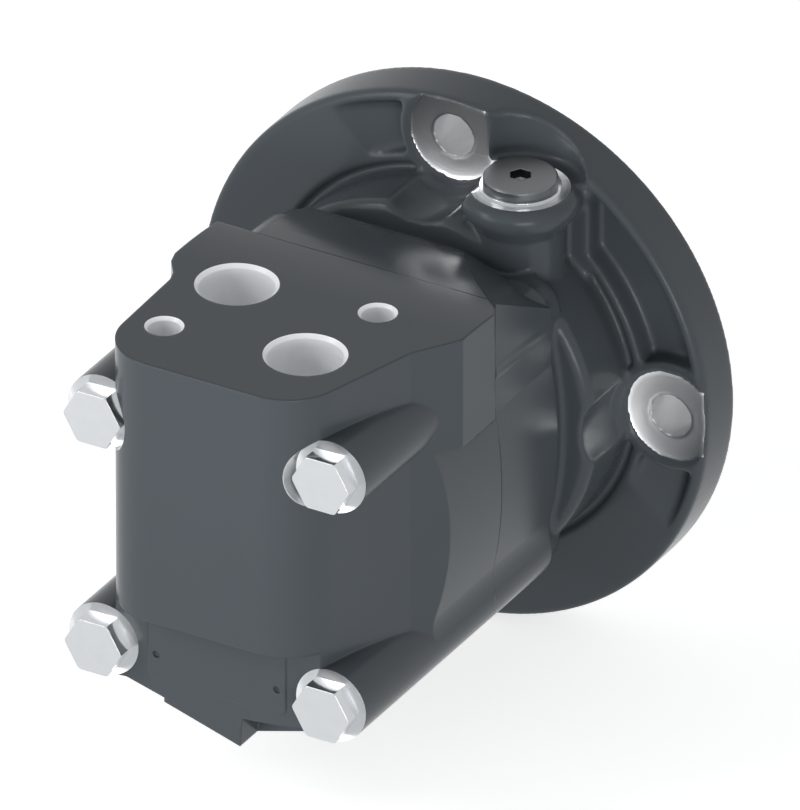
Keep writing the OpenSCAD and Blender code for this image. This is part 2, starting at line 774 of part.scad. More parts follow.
// Spline teeth on a disc outline; a positive gap makes the matching bore
module spline_outline(gap) {
    tooth_w = 2 * PI * (spline_r - spline_h / 2) / spline_n / 2;
    circle(r = spline_r - spline_h + gap);
    intersection() {
        circle(r = spline_r + gap);
        for (turn = [0:spline_n - 1])
            rotate([0, 0, turn * 360 / spline_n]) polygon([[-tooth_w / 2 - 0.35 - gap, 2],
                [-tooth_w / 2 - 0.35 - gap, spline_r - spline_h], [-tooth_w / 2 + 0.5 - gap, spline_r + 2],
                [tooth_w / 2 - 0.5 + gap, spline_r + 2], [tooth_w / 2 + 0.35 + gap, spline_r - spline_h],
                [tooth_w / 2 + 0.35 + gap, 2]]);
    }
}

module output_shaft() {
    nose_end = nose_y + 1;
    color(bright) difference() {
        turned([[0, shaft_back_y], [journal_r - 0.8, shaft_back_y], [journal_r, shaft_back_y - 0.8],
            [journal_r, -4.05], [collar_r, -4.05], [collar_r, -nose_end + 0.8],
            [collar_r - 0.8, -nose_end], [shaft_r, -nose_end], [shaft_r, -shaft_y + 1.5],
            [shaft_r - 1.5, -shaft_y], [0, -shaft_y]]);
        // Internal spline and relieved bore for the drive link
        along(1, shaft_back_y + cut) spline_outline(spline_gap);
        bar(14.6, 15, shaft_back_y + cut);
        turned([[0, 1 + bit], [11, 1 + bit], [0, -4]]);
        // Keyway and the threaded centre hole
        translate([-key_w / 2, key_y, shaft_r - 5]) cube([key_w, key_l, 10]);
        translate([0, shaft_y - 22, 0]) rotate([-90, 0, 0]) cylinder(r = 4.2, h = 30);
        turned([[0, -shaft_y + 2], [4.2, -shaft_y + 2], [6.7, -shaft_y - 0.5], [0, -shaft_y - 0.5]]);
    }
}

module shaft_key() {
    color(dark_steel) translate([-key_w / 2 + press, key_y + press, shaft_r - 5])
        cube([key_w - 2 * press, key_l - 2 * press, key_h]);
}

module lock_nut() {
    color(dark_steel) difference() {
        bar(25.5, rear_web_y + bearing_w, shaft_back_y - 0.4);
        bar(journal_r + press, rear_web_y, shaft_back_y + cut);
        for (turn = [0:90:270]) rotate([0, turn, 0])
            translate([23.4, -shaft_back_y, -2.5]) cube([6, 10, 5]);
    }
}

// Outline of the six-lobed rotor, offset inward from the path of the roller centres
module rotor_outline() {
    offset_r = roll_r + gear_gap;
    steps = 252;
    polygon([for (i = [0:steps - 1]) let (
        t = i * 360 / steps,
        px = ring_r * sin(t) - orbit * sin(7 * t),
        pz = ring_r * cos(t) - orbit * cos(7 * t),
        dx = ring_r * cos(t) - 7 * orbit * cos(7 * t),
        dz = -ring_r * sin(t) + 7 * orbit * sin(7 * t),
        size = sqrt(dx * dx + dz * dz))
        [px + offset_r * dz / size, pz - offset_r * dx / size]]);
}

module rotor() {
    color(bright) translate([0, 0, orbit]) difference() {
        along(gear_front_y + running, gear_back_y - running) rotor_outline();
        along(gear_front_y - cut, gear_back_y + cut) spline_outline(spline_gap);
    }
}

module drive_spacer() {
    color(dark_steel) translate([0, 0, orbit]) bar(9, 61.2, 62.8);
}

// Tilted member whose axis meets the shaft axis at a pivot and is off it by the orbit at another place
module tilted(pivot_y, far_y) {
    lean = atan(orbit / (far_y - pivot_y));
    translate([0, -pivot_y, 0]) rotate([-lean, 0, 0]) translate([0, pivot_y, 0]) children();
}

module drive_link() {
    color(dark_steel) tilted(shaft_pivot_y, rotor_pivot_y) {
        along(shaft_pivot_y - 4, shaft_pivot_y + 4) spline_outline(0);
        along(rotor_pivot_y - 3.4, rotor_pivot_y + 3.4) spline_outline(0);
        bar(8.5, shaft_pivot_y - 5, rotor_pivot_y + 3.4);
    }
}

module valve_drive() {
    color(dark_steel) tilted(valve_pivot_y, valve_drive_y) {
        along(valve_drive_y - 2, valve_drive_y + 2) spline_outline(0);
        along(valve_pivot_y - 2.5, valve_pivot_y + 2.5) spline_outline(0);
        bar(7, valve_drive_y - 2.5, valve_pivot_y + 3);
    }
}

module disc_valve() {
    color(bronze) difference() {
        turned([[0, seam_y + running], [valve_r, seam_y + running], [valve_r, seam_y + 8],
            [26, seam_y + 9], [26, valve_back_y], [0, valve_back_y]]);
        along(valve_pivot_y - 3.6, valve_back_y + cut) spline_outline(spline_gap);
        bar(13.5, seam_y - cut, valve_pivot_y - 3.4);
        // Twelve timing ports in the valve face
        for (turn = [0:11])
            rotate([0, turn * 30, 0]) bar_at(0, 24, 2.4, seam_y - cut, seam_y + 6);
        for (turn = [0:5])
            rotate([0, turn * 60, 0]) bar_at(0, 20.5, 1.8, seam_y + 5, valve_back_y + cut);
    }
}

module balance_plate() {
    color(bright) difference() {
        bar(chamber_r - 0.1, valve_back_y + running, valve_back_y + 5);
        bar(16, valve_back_y - cut, valve_back_y + 5 + cut);
        for (turn = [0:5])
            rotate([0, turn * 60, 0]) bar_at(0, 24, 2, valve_back_y - cut, valve_back_y + 6);
    }
}

module balance_springs() {
    color(bright) for (turn = [0:5])
        rotate([0, turn * 60 + 30, 0]) translate([0, 0, 24]) difference() {
            bar(2.6, valve_back_y + 5, chamber_y);
            bar(1.8, valve_back_y, chamber_y + cut);
        }
}

module check_seats() {
    color(dark_steel) check_places() difference() {
        bar(check_bore_r - press, valve_back_y - 3, valve_back_y + 2);
        bar(check_hole_r, valve_back_y - 4, valve_back_y + 3);
    }
}

module check_stops() {
    stop_y = check_rest_y - check_travel - check_lift - 0.03;
    color(dark_steel) check_places() difference() {
        bar(check_bore_r - press, seam_y, stop_y);
        bar(check_hole_r, seam_y - cut, stop_y + cut);
    }
}

module check_ball(turn) {
    color(bright) rotate([0, turn, 0]) translate([0, -check_rest_y, -check_pcr]) sphere(r = check_ball_r);
}

module check_ball_a() { check_ball(-20); }
module check_ball_b() { check_ball(20); }

module gear_roller(index) {
    color(bright) rotate([0, index * 360 / 7, 0])
        bar_at(0, ring_r, roll_r, gear_front_y + running, gear_back_y - running);
}

front_housing();
wear_plate();
stator_ring();
channel_plate();
port_housing();
housing_bolts();
drain_plug();
drain_washer();
bearing_cup_front();
bearing_cup_rear();
shaft_seal();
seal_retainer();
dust_seal();
section_seals();
balance_plate();
balance_springs();
check_seats();
check_stops();
check_ball_a();
check_ball_b();
output_shaft();
shaft_key();
bearing_cone_front();
bearing_cone_rear();
lock_nut();
bearing_rollers_front();
bearing_rollers_rear();
bearing_cage_front();
bearing_cage_rear();
drive_spacer();
rotor();
drive_link();
valve_drive();
disc_valve();
gear_roller(0);  // roller_1
gear_roller(1);  // roller_2
gear_roller(2);  // roller_3
gear_roller(3);  // roller_4
gear_roller(4);  // roller_5
gear_roller(5);  // roller_6
gear_roller(6);  // roller_7
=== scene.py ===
"""Looks of the orbital hydraulic motor: satin paint on cast iron, machined faces, bright screws, studio."""
import math

import bpy
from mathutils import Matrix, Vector


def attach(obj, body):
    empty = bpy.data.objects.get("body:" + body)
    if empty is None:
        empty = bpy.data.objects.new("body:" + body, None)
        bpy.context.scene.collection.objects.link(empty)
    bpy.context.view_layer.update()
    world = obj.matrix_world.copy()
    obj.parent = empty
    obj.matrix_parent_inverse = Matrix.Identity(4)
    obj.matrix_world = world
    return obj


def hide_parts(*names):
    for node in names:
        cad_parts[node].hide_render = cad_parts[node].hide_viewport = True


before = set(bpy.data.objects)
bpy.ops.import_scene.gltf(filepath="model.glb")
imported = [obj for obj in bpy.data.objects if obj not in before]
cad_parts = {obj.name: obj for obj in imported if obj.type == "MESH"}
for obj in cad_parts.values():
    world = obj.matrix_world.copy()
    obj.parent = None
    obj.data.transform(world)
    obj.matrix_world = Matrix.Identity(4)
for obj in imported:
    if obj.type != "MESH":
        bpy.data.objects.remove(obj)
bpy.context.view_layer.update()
MM = 0.001

# Places on the castings that a tool has cut, in millimetres
BOLT_SEAT_Y = -155.2
BOLT_HALF = 38.5
TUBE_R = 11.7
HOLE_CIRCLE_R = 73.8
HOLE_SEAT_R = 15.6
HOLE_SEAT_Y = -17
HOLE_R, HOLE_EDGE, HOLE_EDGE_DEPTH = 6.6, 0.9, 0.7
MOUNTING_R, MOUNTING_DEPTH, MOUNTING_REACH = 100, 0.9, 60
PORT_FACE_Z = 64.5
PORT_HOLES = ((-19, -110.7, 12.56), (19, -136.3, 12.56), (-25, -142.4, 5.92), (25, -104.6, 5.92))
DRAIN_X, DRAIN_Y, DRAIN_SEAT_Z, DRAIN_SEAT_R, DRAIN_HOLE_R = 28.5, -27.1, 69.3, 14.7, 7.2
SOCKET_R, SOCKET_MIDDLE_Z, SOCKET_TOP_Z = 3.75, 70.9, 73.66
FLANGE_UNDERSIDE = -85.9

# How far the zones of the cut places reach over or under their faces, in millimetres
SEAT_SLACK, SEAT_RISE, SEAT_INSET = 0.1, 0.07, 0.2
DRAIN_RISE, DRAIN_SLACK = 0.45, 0.1
BORE_SLACK, BORE_OVERLAP = 0.15, 0.4
BOLT_SEAT_RISE, PORT_FACE_SINK = 0.05, 0.02

# Where zones begin or end inside or outside the castings, in millimetres
BEHIND_BOLTS_Y, BEFORE_MOUNTING_Y = -300, 1
PORT_ZONE_Z, DRAIN_ZONE_Z = 20, 40

# Cast skin of the flange casting: distances kept from its machined faces and its seam, in millimetres
FRONT_SEAM_Y, INNER_R = -46.2, 46
FRONT_MARGIN, SEAM_MARGIN = 1.5, 1.2
SEAT_MARGIN, SEAT_DEPTH_MARGIN, HOLE_MARGIN = 0.8, 1.2, 1.5

# Fillets of the flange casting: voxel in metres, rounds of smoothing, and sharp edges' angle in degrees
BODY_OF_CASTINGS = "housing"
CAST_VOXEL = 0.0008
CAST_ROUNDS = 8
CAST_SMOOTHING = 0.5
CAST_SHARP = 24

# Colours are linear red, green and blue
SLATE = (0.0665, 0.077, 0.0865)
MILLED = (0.76, 0.77, 0.78)
FACED = (0.56, 0.565, 0.57)
BORED = (0.93, 0.94, 0.95)
DRILLED = (0.62, 0.63, 0.64)
ZINC = (0.57, 0.585, 0.6)
GROUND_STEEL = (0.68, 0.68, 0.69)
PLAIN_STEEL = (0.36, 0.36, 0.37)
PLUG_STEEL = (0.15, 0.158, 0.163)
# Painted shade for the upper walls of the drain plug's socket
SOCKET_PAINTED_SHADE = (0.035, 0.037, 0.038)
BRONZE = (0.66, 0.46, 0.24)
BLACK_RUBBER = (0.018, 0.018, 0.019)
SKY_TINT = (0.97, 0.985, 1.0)
WHITE = (1.0, 1.0, 1.0)

# Finishes: how strongly edges get a painted highlight and how pale that painted highlight is, and how
# metallic and glossy surfaces are
EDGE_HIGHLIGHT_SHARE, EDGE_HIGHLIGHT_TONE = 0.5, 1.7
BORE_METALLIC = 0.2
PAINT_SPECULAR = 0.16

# Reliefs, in metres
SEAT_DISH, DISH_POWER = 0.0017, 3.0
TOOL_MARK, TOOL_FEED = 0.0000015, 1.1 * MM
PEEL_DEPTH, METAL_GRAIN_DEPTH, RUBBER_GRAIN_DEPTH = 0.00002, 0.000003, 0.00003

# Noise of the surfaces: broad drift of tone, fine peel and its share of the relief, and grain of metal
BROAD_SCALE, BROAD_DETAIL = 16.0, 3.0
PEEL_DETAIL, PEEL_SHARE = 1.0, 0.25
GRAIN_DETAIL = 4.0

# Studio: soft light at the horizon and overhead, and lamps with their places, sizes and powers
HORIZON_LIGHT, ZENITH_LIGHT = 0.84, 0.2
SOFT_BOXES = (
    ("upper left soft box", (-0.8, -0.9, 0.7), (0.35, 0.35), 3.5),
    ("low left soft box", (-0.6, -1.1, 0.1), (0.6, 0.6), 4.5),
    ("low right soft box", (0.75, -1.0, 0.0), (0.6, 0.5), 7.5),
)
LAMPS_AIM = (0, -0.08, 0)
FLOOR_HALF, FLOOR_DROP = 3.0, 0.0002
FLOOR_TONE, FLOOR_LIFT = (0.8, 0.8, 0.8), 0.66

KINDS = {"colour": "NodeSocketColor", "value": "NodeSocketFloat", "vector": "NodeSocketVector"}


def feed(tree, socket, source):
    """Gives a socket another node's output, or a plain number, colour or vector."""
    if isinstance(source, bpy.types.NodeSocket):
        tree.links.new(source, socket)
    elif isinstance(source, tuple) and socket.type == "RGBA":
        socket.default_value = (*source, 1)
    else:
        socket.default_value = source


class Bench:
    """One node tree, with short calls for the nodes that the finishes use."""

    def __init__(self, tree):
        self.tree = tree

    def add(self, kind, sources=None, **settings):
        """A node with its settings, and its inputs fed by name or number."""
        node = self.tree.nodes.new(kind)
        for name, value in settings.items():
            setattr(node, name, value)
        for name, source in (sources or {}).items():
            feed(self.tree, node.inputs[name], source)
        return node

    def maths(self, operation, first, second=0.0, third=0.0):
        """Result of one Math node."""
        return self.add("ShaderNodeMath", {0: first, 1: second, 2: third}, operation=operation).outputs[0]

    def vectors(self, operation, first, second=(0.0, 0.0, 0.0)):
        """The Vector Math node of one operation."""
        return self.add("ShaderNodeVectorMath", {0: first, 1: second}, operation=operation)

    def mix_colour(self, factor, first, second):
        """Colour between two colours."""
        return self.add("ShaderNodeMix", {0: factor, 6: first, 7: second}, data_type="RGBA").outputs[2]

    def mix_value(self, factor, first, second):
        """Number between two numbers."""
        return self.add("ShaderNodeMix", {0: factor, 2: first, 3: second}, data_type="FLOAT").outputs[0]

    def noise(self, scale, detail):
        """Noise in the piece's own coordinates."""
        place = self.add("ShaderNodeTexCoord").outputs["Object"]
        return self.add("ShaderNodeTexNoise",
                        {"Vector": place, "Scale": scale, "Detail": detail}).outputs["Fac"]

    def bump(self, height, depth, normal=None):
        """Normal of a relief that is as deep as stated, in metres."""
        sources = {"Height": height, "Distance": depth, "Strength": 1.0}
        if normal is not None:
            sources["Normal"] = normal
        return self.add("ShaderNodeBump", sources).outputs["Normal"]


def new_group(name, inputs, outputs):
    """An empty shader node group with named sockets: its bench, its inputs and its output node."""
    tree = bpy.data.node_groups.new(name, "ShaderNodeTree")
    for socket, kind, value in inputs:
        tree.interface.new_socket(socket, in_out="INPUT", socket_type=KINDS[kind]).default_value = value
    for socket, kind in outputs:
        tree.interface.new_socket(socket, in_out="OUTPUT", socket_type=KINDS[kind])
    source = tree.nodes.new("NodeGroupInput")
    result = tree.nodes.new("NodeGroupOutput")
    return Bench(tree), source.outputs, result.inputs


def make_cast_skin():
    """Paint over sand-cast iron: a slight drift of tone and a fine orange-peel relief."""
    bench, given, result = new_group(
        "cast skin",
        (("Paint", "colour", (0.1, 0.1, 0.1, 1)), ("Drift", "value", 0.08), ("Peel Scale", "value", 700.0),
         ("Gloss Low", "value", 0.36), ("Gloss High", "value", 0.46)),
        (("Colour", "colour"), ("Roughness", "value"), ("Height", "value")))
    broad = bench.noise(BROAD_SCALE, BROAD_DETAIL)
    peel = bench.noise(given["Peel Scale"], PEEL_DETAIL)
    tone = bench.maths("MULTIPLY_ADD", bench.maths("SUBTRACT", broad, 0.5), given["Drift"], 1.0)
    shade = bench.vectors("SCALE", given["Paint"])
    bench.tree.links.new(tone, shade.inputs["Scale"])
    feed(bench.tree, result["Colour"], shade.outputs[0])
    feed(bench.tree, result["Roughness"], bench.mix_value(peel, given["Gloss Low"], given["Gloss High"]))
    feed(bench.tree, result["Height"], bench.maths("ADD", bench.maths("MULTIPLY", peel, PEEL_SHARE), broad))
    return bench.tree


def make_rounded_edge():
    """Cast fillet along every edge, and a mask of the edges that are rounded."""
    bench, given, result = new_group(
        "rounded edge", (("Radius", "value", 0.001),), (("Normal", "vector"), ("Edge", "value")))
    soft = bench.add("ShaderNodeBevel", {"Radius": given["Radius"]}, samples=8).outputs[0]
    true = bench.add("ShaderNodeNewGeometry").outputs["Normal"]
    facing = bench.vectors("DOT_PRODUCT", soft, true).outputs["Value"]
    feed(bench.tree, result["Normal"], soft)
    feed(bench.tree, result["Edge"], bench.maths("SUBTRACT", 1.0, facing))
    return bench.tree


def make_cut_disc():
    """Round place that a tool has cut across an axis, with its faint rings and the dish of its corner."""
    bench, given, result = new_group(
        "cut disc",
        (("Centre", "vector", (0, 0, 0)), ("Axis", "vector", (0, 0, 1)), ("Radius", "value", 0.01),
         ("From", "value", -0.01), ("To", "value", 0.01)),
        (("Mask", "value"), ("Rings", "value"), ("Dish", "value")))
    place = bench.add("ShaderNodeTexCoord").outputs["Object"]
    away = bench.vectors("SUBTRACT", place, given["Centre"]).outputs[0]
    along = bench.vectors("DOT_PRODUCT", away, given["Axis"]).outputs["Value"]
    shift = bench.vectors("SCALE", given["Axis"])
    bench.tree.links.new(along, shift.inputs["Scale"])
    across = bench.vectors("SUBTRACT", away, shift.outputs[0]).outputs[0]
    radius = bench.vectors("LENGTH", across).outputs["Value"]
    inside = bench.maths("LESS_THAN", radius, given["Radius"])
    above = bench.maths("GREATER_THAN", along, given["From"])
    below = bench.maths("LESS_THAN", along, given["To"])
    between = bench.maths("MULTIPLY", above, below)
    mask = bench.maths("MULTIPLY", inside, between)
    feed(bench.tree, result["Mask"], mask)
    rings = bench.maths("SINE", bench.maths("MULTIPLY", radius, 2 * math.pi / TOOL_FEED))
    feed(bench.tree, result["Rings"], bench.maths("MULTIPLY", rings, mask))
    share = bench.maths("MINIMUM", bench.maths("DIVIDE", radius, given["Radius"]), 1.0)
    hollow = bench.maths("POWER", share, DISH_POWER)
    feed(bench.tree, result["Dish"], bench.maths("MULTIPLY", hollow, between))
    return bench.tree


def make_metal_grain():
    """Bare metal: a slight drift of tone and roughness at a stated scale."""
    bench, given, result = new_group(
        "metal grain",
        (("Metal", "colour", (0.7, 0.7, 0.7, 1)), ("Drift", "value", 0.06), ("Grain Scale", "value", 300.0),
         ("Gloss Low", "value", 0.2), ("Gloss High", "value", 0.3)),
        (("Colour", "colour"), ("Roughness", "value"), ("Height", "value")))
    grain = bench.noise(given["Grain Scale"], GRAIN_DETAIL)
    tone = bench.maths("MULTIPLY_ADD", bench.maths("SUBTRACT", grain, 0.5), given["Drift"], 1.0)
    shade = bench.vectors("SCALE", given["Metal"])
    bench.tree.links.new(tone, shade.inputs["Scale"])
    feed(bench.tree, result["Colour"], shade.outputs[0])
    feed(bench.tree, result["Roughness"], bench.mix_value(grain, given["Gloss Low"], given["Gloss High"]))
    feed(bench.tree, result["Height"], grain)
    return bench.tree


CAST_SKIN = make_cast_skin()
ROUNDED_EDGE = make_rounded_edge()
CUT_DISC = make_cut_disc()
METAL_GRAIN = make_metal_grain()


def new_material(name):
    """A node material: its bench and its Principled shader."""
    material = bpy.data.materials.new(name)
    material.use_nodes = True
    return material, Bench(material.node_tree), material.node_tree.nodes["Principled BSDF"]


def place_group(bench, group, **values):
    """A node group in a material, with its own values; an underscore stands for a space."""
    node = bench.tree.nodes.new("ShaderNodeGroup")
    node.node_tree = group
    for name, value in values.items():
        feed(bench.tree, node.inputs[name.replace("_", " ")], value)
    return node.outputs


def cut_disc(bench, centre, axis, radius, low, high):
    """One machined place; all sizes are in millimetres."""
    return place_group(bench, CUT_DISC, Centre=tuple(MM * c for c in centre), Axis=axis,
                       Radius=radius * MM, From=low * MM, To=high * MM)


def gather(bench, operation, values):
    """One value from several, such as the largest of some masks or the sum of some reliefs."""
    result = values[0]
    for value in values[1:]:
        result = bench.maths(operation, result, value)
    return result


def painted_casting(name, fillet, seats=(), faces=(), bores=(), bored_metal=BORED):
    """Satin slate paint over cast iron, with rounded cast edges lightened by a painted highlight, and
    bright seats, faces and bores.
    """
    material, bench, shader = new_material(name)
    skin = place_group(bench, CAST_SKIN, Paint=SLATE, Drift=0.1, Peel_Scale=650.0,
                       Gloss_Low=0.18, Gloss_High=0.25)
    colour, roughness = skin["Colour"], skin["Roughness"]
    edge = place_group(bench, ROUNDED_EDGE, Radius=fillet * MM)
    normal = bench.bump(skin["Height"], PEEL_DEPTH, edge["Normal"])
    # Painted highlight: paint along the rounded edges, convex and concave alike, is mixed towards a paler
    # slate
    painted_edge_highlight = bench.maths("MULTIPLY", edge["Edge"], EDGE_HIGHLIGHT_SHARE)
    painted_edge_highlight.node.use_clamp = True
    colour = bench.mix_colour(painted_edge_highlight, colour, tuple(EDGE_HIGHLIGHT_TONE * c for c in SLATE))
    if seats:
        seated = [cut_disc(bench, *disc) for disc in seats]
        faced = [cut_disc(bench, *disc) for disc in faces]
        bored = [cut_disc(bench, *disc) for disc in bores]
        bore_mask = gather(bench, "MAXIMUM", [place["Mask"] for place in bored])
        mask = gather(bench, "MAXIMUM", [place["Mask"] for place in seated + faced + bored])
        grain = place_group(bench, METAL_GRAIN, Metal=MILLED, Drift=0.03, Grain_Scale=120.0,
                            Gloss_Low=0.27, Gloss_High=0.31)
        bare_colour = bench.mix_colour(bore_mask, grain["Colour"], bored_metal)
        for place in faced:
            bare_colour = bench.mix_colour(place["Mask"], bare_colour, FACED)
        colour = bench.mix_colour(mask, colour, bare_colour)
        roughness = bench.mix_value(mask, roughness, grain["Roughness"])
        dull = bench.maths("MULTIPLY", bore_mask, 1 - BORE_METALLIC)
        feed(bench.tree, shader.inputs["Metallic"], bench.maths("SUBTRACT", mask, dull))
        marks = [bench.maths("MULTIPLY", place["Rings"], TOOL_MARK) for place in seated + faced]
        dishes = [bench.maths("MULTIPLY", place["Dish"], SEAT_DISH) for place in seated]
        relief = gather(bench, "ADD", marks)
        dish = gather(bench, "ADD", dishes)
        turned = bench.bump(bench.maths("ADD", relief, dish), 1.0)
        bare = bench.vectors("SCALE", turned)
        bench.tree.links.new(mask, bare.inputs["Scale"])
        kept = bench.vectors("SCALE", normal)
        bench.tree.links.new(bench.maths("SUBTRACT", 1.0, mask), kept.inputs["Scale"])
        normal = bench.vectors("ADD", bare.outputs[0], kept.outputs[0]).outputs[0]
    feed(bench.tree, shader.inputs["Base Color"], colour)
    feed(bench.tree, shader.inputs["Roughness"], roughness)
    feed(bench.tree, shader.inputs["Normal"], normal)
    shader.inputs["Specular IOR Level"].default_value = PAINT_SPECULAR
    return material


def bare_metal(name, metal, low, high, scale=300.0, drift=0.08, edge_radius=0.25, socket_painted_light=()):
    """Bare or plated metal with a fine grain, slightly broken edges and perhaps a socket whose colours are
    painted light: a painted highlight deep in it and painted shade near its top.
    """
    material, bench, shader = new_material(name)
    grain = place_group(bench, METAL_GRAIN, Metal=metal, Drift=drift, Grain_Scale=scale,
                        Gloss_Low=low, Gloss_High=high)
    edge = place_group(bench, ROUNDED_EDGE, Radius=edge_radius * MM)
    colour = grain["Colour"]
    # Painted light in the socket: each zone of it gets a bright painted highlight or a dark painted shade
    for disc, shade in socket_painted_light:
        colour = bench.mix_colour(cut_disc(bench, *disc)["Mask"], colour, shade)
    feed(bench.tree, shader.inputs["Base Color"], colour)
    feed(bench.tree, shader.inputs["Roughness"], grain["Roughness"])
    normal = bench.bump(grain["Height"], METAL_GRAIN_DEPTH, edge["Normal"])
    feed(bench.tree, shader.inputs["Normal"], normal)
    shader.inputs["Metallic"].default_value = 1.0
    return material


def moulded_rubber(name):
    """Dull black nitrile rubber."""
    material, bench, shader = new_material(name)
    skin = place_group(bench, CAST_SKIN, Paint=BLACK_RUBBER, Drift=0.5, Peel_Scale=900.0,
                       Gloss_Low=0.5, Gloss_High=0.7)
    feed(bench.tree, shader.inputs["Base Color"], skin["Colour"])
    feed(bench.tree, shader.inputs["Roughness"], skin["Roughness"])
    feed(bench.tree, shader.inputs["Normal"], bench.bump(skin["Height"], RUBBER_GRAIN_DEPTH))
    return material


ALONG_SHAFT = (0.0, 1.0, 0.0)
UPWARD = (0.0, 0.0, 1.0)
DRAIN_CENTRE = (DRAIN_X, DRAIN_Y, 0)
# Painted light in the drain plug's hex socket: a bright painted highlight on its lower part, dark painted
# shade on its upper part
PLUG_SOCKET_PAINTED_LIGHT = (((DRAIN_CENTRE, UPWARD, SOCKET_R, DRAIN_ZONE_Z, SOCKET_MIDDLE_Z), BORED),
               ((DRAIN_CENTRE, UPWARD, SOCKET_R, SOCKET_MIDDLE_Z, SOCKET_TOP_Z), SOCKET_PAINTED_SHADE))


def port_seats():
    """Faced places of the port casting: the seats of the four bolts."""
    return [((x, 0, z), ALONG_SHAFT, TUBE_R + SEAT_SLACK, BEHIND_BOLTS_Y, BOLT_SEAT_Y + BOLT_SEAT_RISE)
            for x in (-BOLT_HALF, BOLT_HALF) for z in (-BOLT_HALF, BOLT_HALF)]


def port_bores():
    """Bored places of the port casting: two ports and two manifold holes."""
    return [((x, y, 0), UPWARD, radius, PORT_ZONE_Z, PORT_FACE_Z - PORT_FACE_SINK)
            for x, y, radius in PORT_HOLES]


def hole_centres():
    """Places of the four flange holes."""
    turns = [turn * math.pi / 2 for turn in range(4)]
    return [(HOLE_CIRCLE_R * math.cos(angle), 0, HOLE_CIRCLE_R * math.sin(angle)) for angle in turns]


def flange_seats():
    """Seats of the flange casting: round its four holes and under the drain plug."""
    low, high = HOLE_SEAT_Y - SEAT_SLACK, HOLE_SEAT_Y + SEAT_RISE
    seats = [(centre, ALONG_SHAFT, HOLE_SEAT_R - SEAT_INSET, low, high) for centre in hole_centres()]
    seats.append((DRAIN_CENTRE, UPWARD, DRAIN_SEAT_R + DRAIN_SLACK, DRAIN_SEAT_Z - DRAIN_SLACK,
                  DRAIN_SEAT_Z + DRAIN_RISE))
    return seats


def flange_faces():
    """Faced places of the flange casting: its mounting side and the broken edges of its holes."""
    edges = [(centre, ALONG_SHAFT, HOLE_R + HOLE_EDGE, HOLE_SEAT_Y, HOLE_SEAT_Y + HOLE_EDGE_DEPTH)
             for centre in hole_centres()]
    return edges + [((0, 0, 0), ALONG_SHAFT, MOUNTING_R, -MOUNTING_DEPTH, MOUNTING_REACH)]


def flange_bores():
    """Bored places of the flange casting: the four holes and the drain's tapped hole."""
    bores = [(centre, ALONG_SHAFT, HOLE_R + BORE_SLACK, HOLE_SEAT_Y - BORE_OVERLAP, BEFORE_MOUNTING_Y)
             for centre in hole_centres()]
    bores.append((DRAIN_CENTRE, UPWARD, DRAIN_HOLE_R, DRAIN_ZONE_Z, DRAIN_SEAT_Z))
    return bores


flange_paint = painted_casting("satin slate paint on the flange casting", 1.3, flange_seats(),
                               flange_faces(), flange_bores(), DRILLED)
port_paint = painted_casting("satin slate paint on the port casting", 1.0, port_seats(), (), port_bores())
plate_paint = painted_casting("satin slate paint on the gear section", 0.03)
bright_zinc = bare_metal("bright zinc plate", ZINC, 0.1, 0.17)
ground_steel = bare_metal("ground steel", GROUND_STEEL, 0.18, 0.28)
plain_steel = bare_metal("plain machined steel", PLAIN_STEEL, 0.32, 0.45)
plug_steel = bare_metal("phosphated plug steel", PLUG_STEEL, 0.3, 0.42, edge_radius=0.5,
                        socket_painted_light=PLUG_SOCKET_PAINTED_LIGHT)
cast_bronze = bare_metal("cast bronze", BRONZE, 0.28, 0.42)
black_rubber = moulded_rubber("black nitrile rubber")

FINISHES = {
    flange_paint: ("front_housing",),
    port_paint: ("port_housing",),
    plate_paint: ("wear_plate", "stator_ring", "channel_plate"),
    bright_zinc: ("housing_bolts", "drain_washer"),
    plug_steel: ("drain_plug",),
    cast_bronze: ("disc_valve", "bearing_cage_front", "bearing_cage_rear"),
    black_rubber: ("shaft_seal", "dust_seal", "section_seals"),
    plain_steel: ("shaft_key", "lock_nut", "seal_retainer", "drive_spacer", "drive_link", "valve_drive",
                  "check_seats", "check_stops"),
}
finish_of = {node: finish for finish, nodes in FINISHES.items() for node in nodes}
for name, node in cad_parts.items():
    node.data.materials.clear()
    node.data.materials.append(finish_of.get(name, ground_steel))


def on_flange_skin(point):
    """True on the cast skin of the flange casting, away from its machined places and its seam."""
    x, y, z = (c / MM for c in point)
    if y > -FRONT_MARGIN or y < FRONT_SEAM_Y + SEAM_MARGIN or math.hypot(x, z) < INNER_R:
        return False
    if math.hypot(x - DRAIN_X, y - DRAIN_Y) < DRAIN_SEAT_R + SEAT_MARGIN and z > 0:
        return False
    level_with_seats = abs(y - HOLE_SEAT_Y) < SEAT_DEPTH_MARGIN
    for centre in hole_centres():
        away = math.hypot(x - centre[0], z - centre[2])
        if away < HOLE_R + HOLE_MARGIN or (away < HOLE_SEAT_R + SEAT_MARGIN and level_with_seats):
            return False
    return True


def evaluated_mesh(piece):
    """Mesh of a piece with its modifiers worked in."""
    graph = bpy.context.evaluated_depsgraph_get()
    return bpy.data.meshes.new_from_object(piece.evaluated_get(graph))


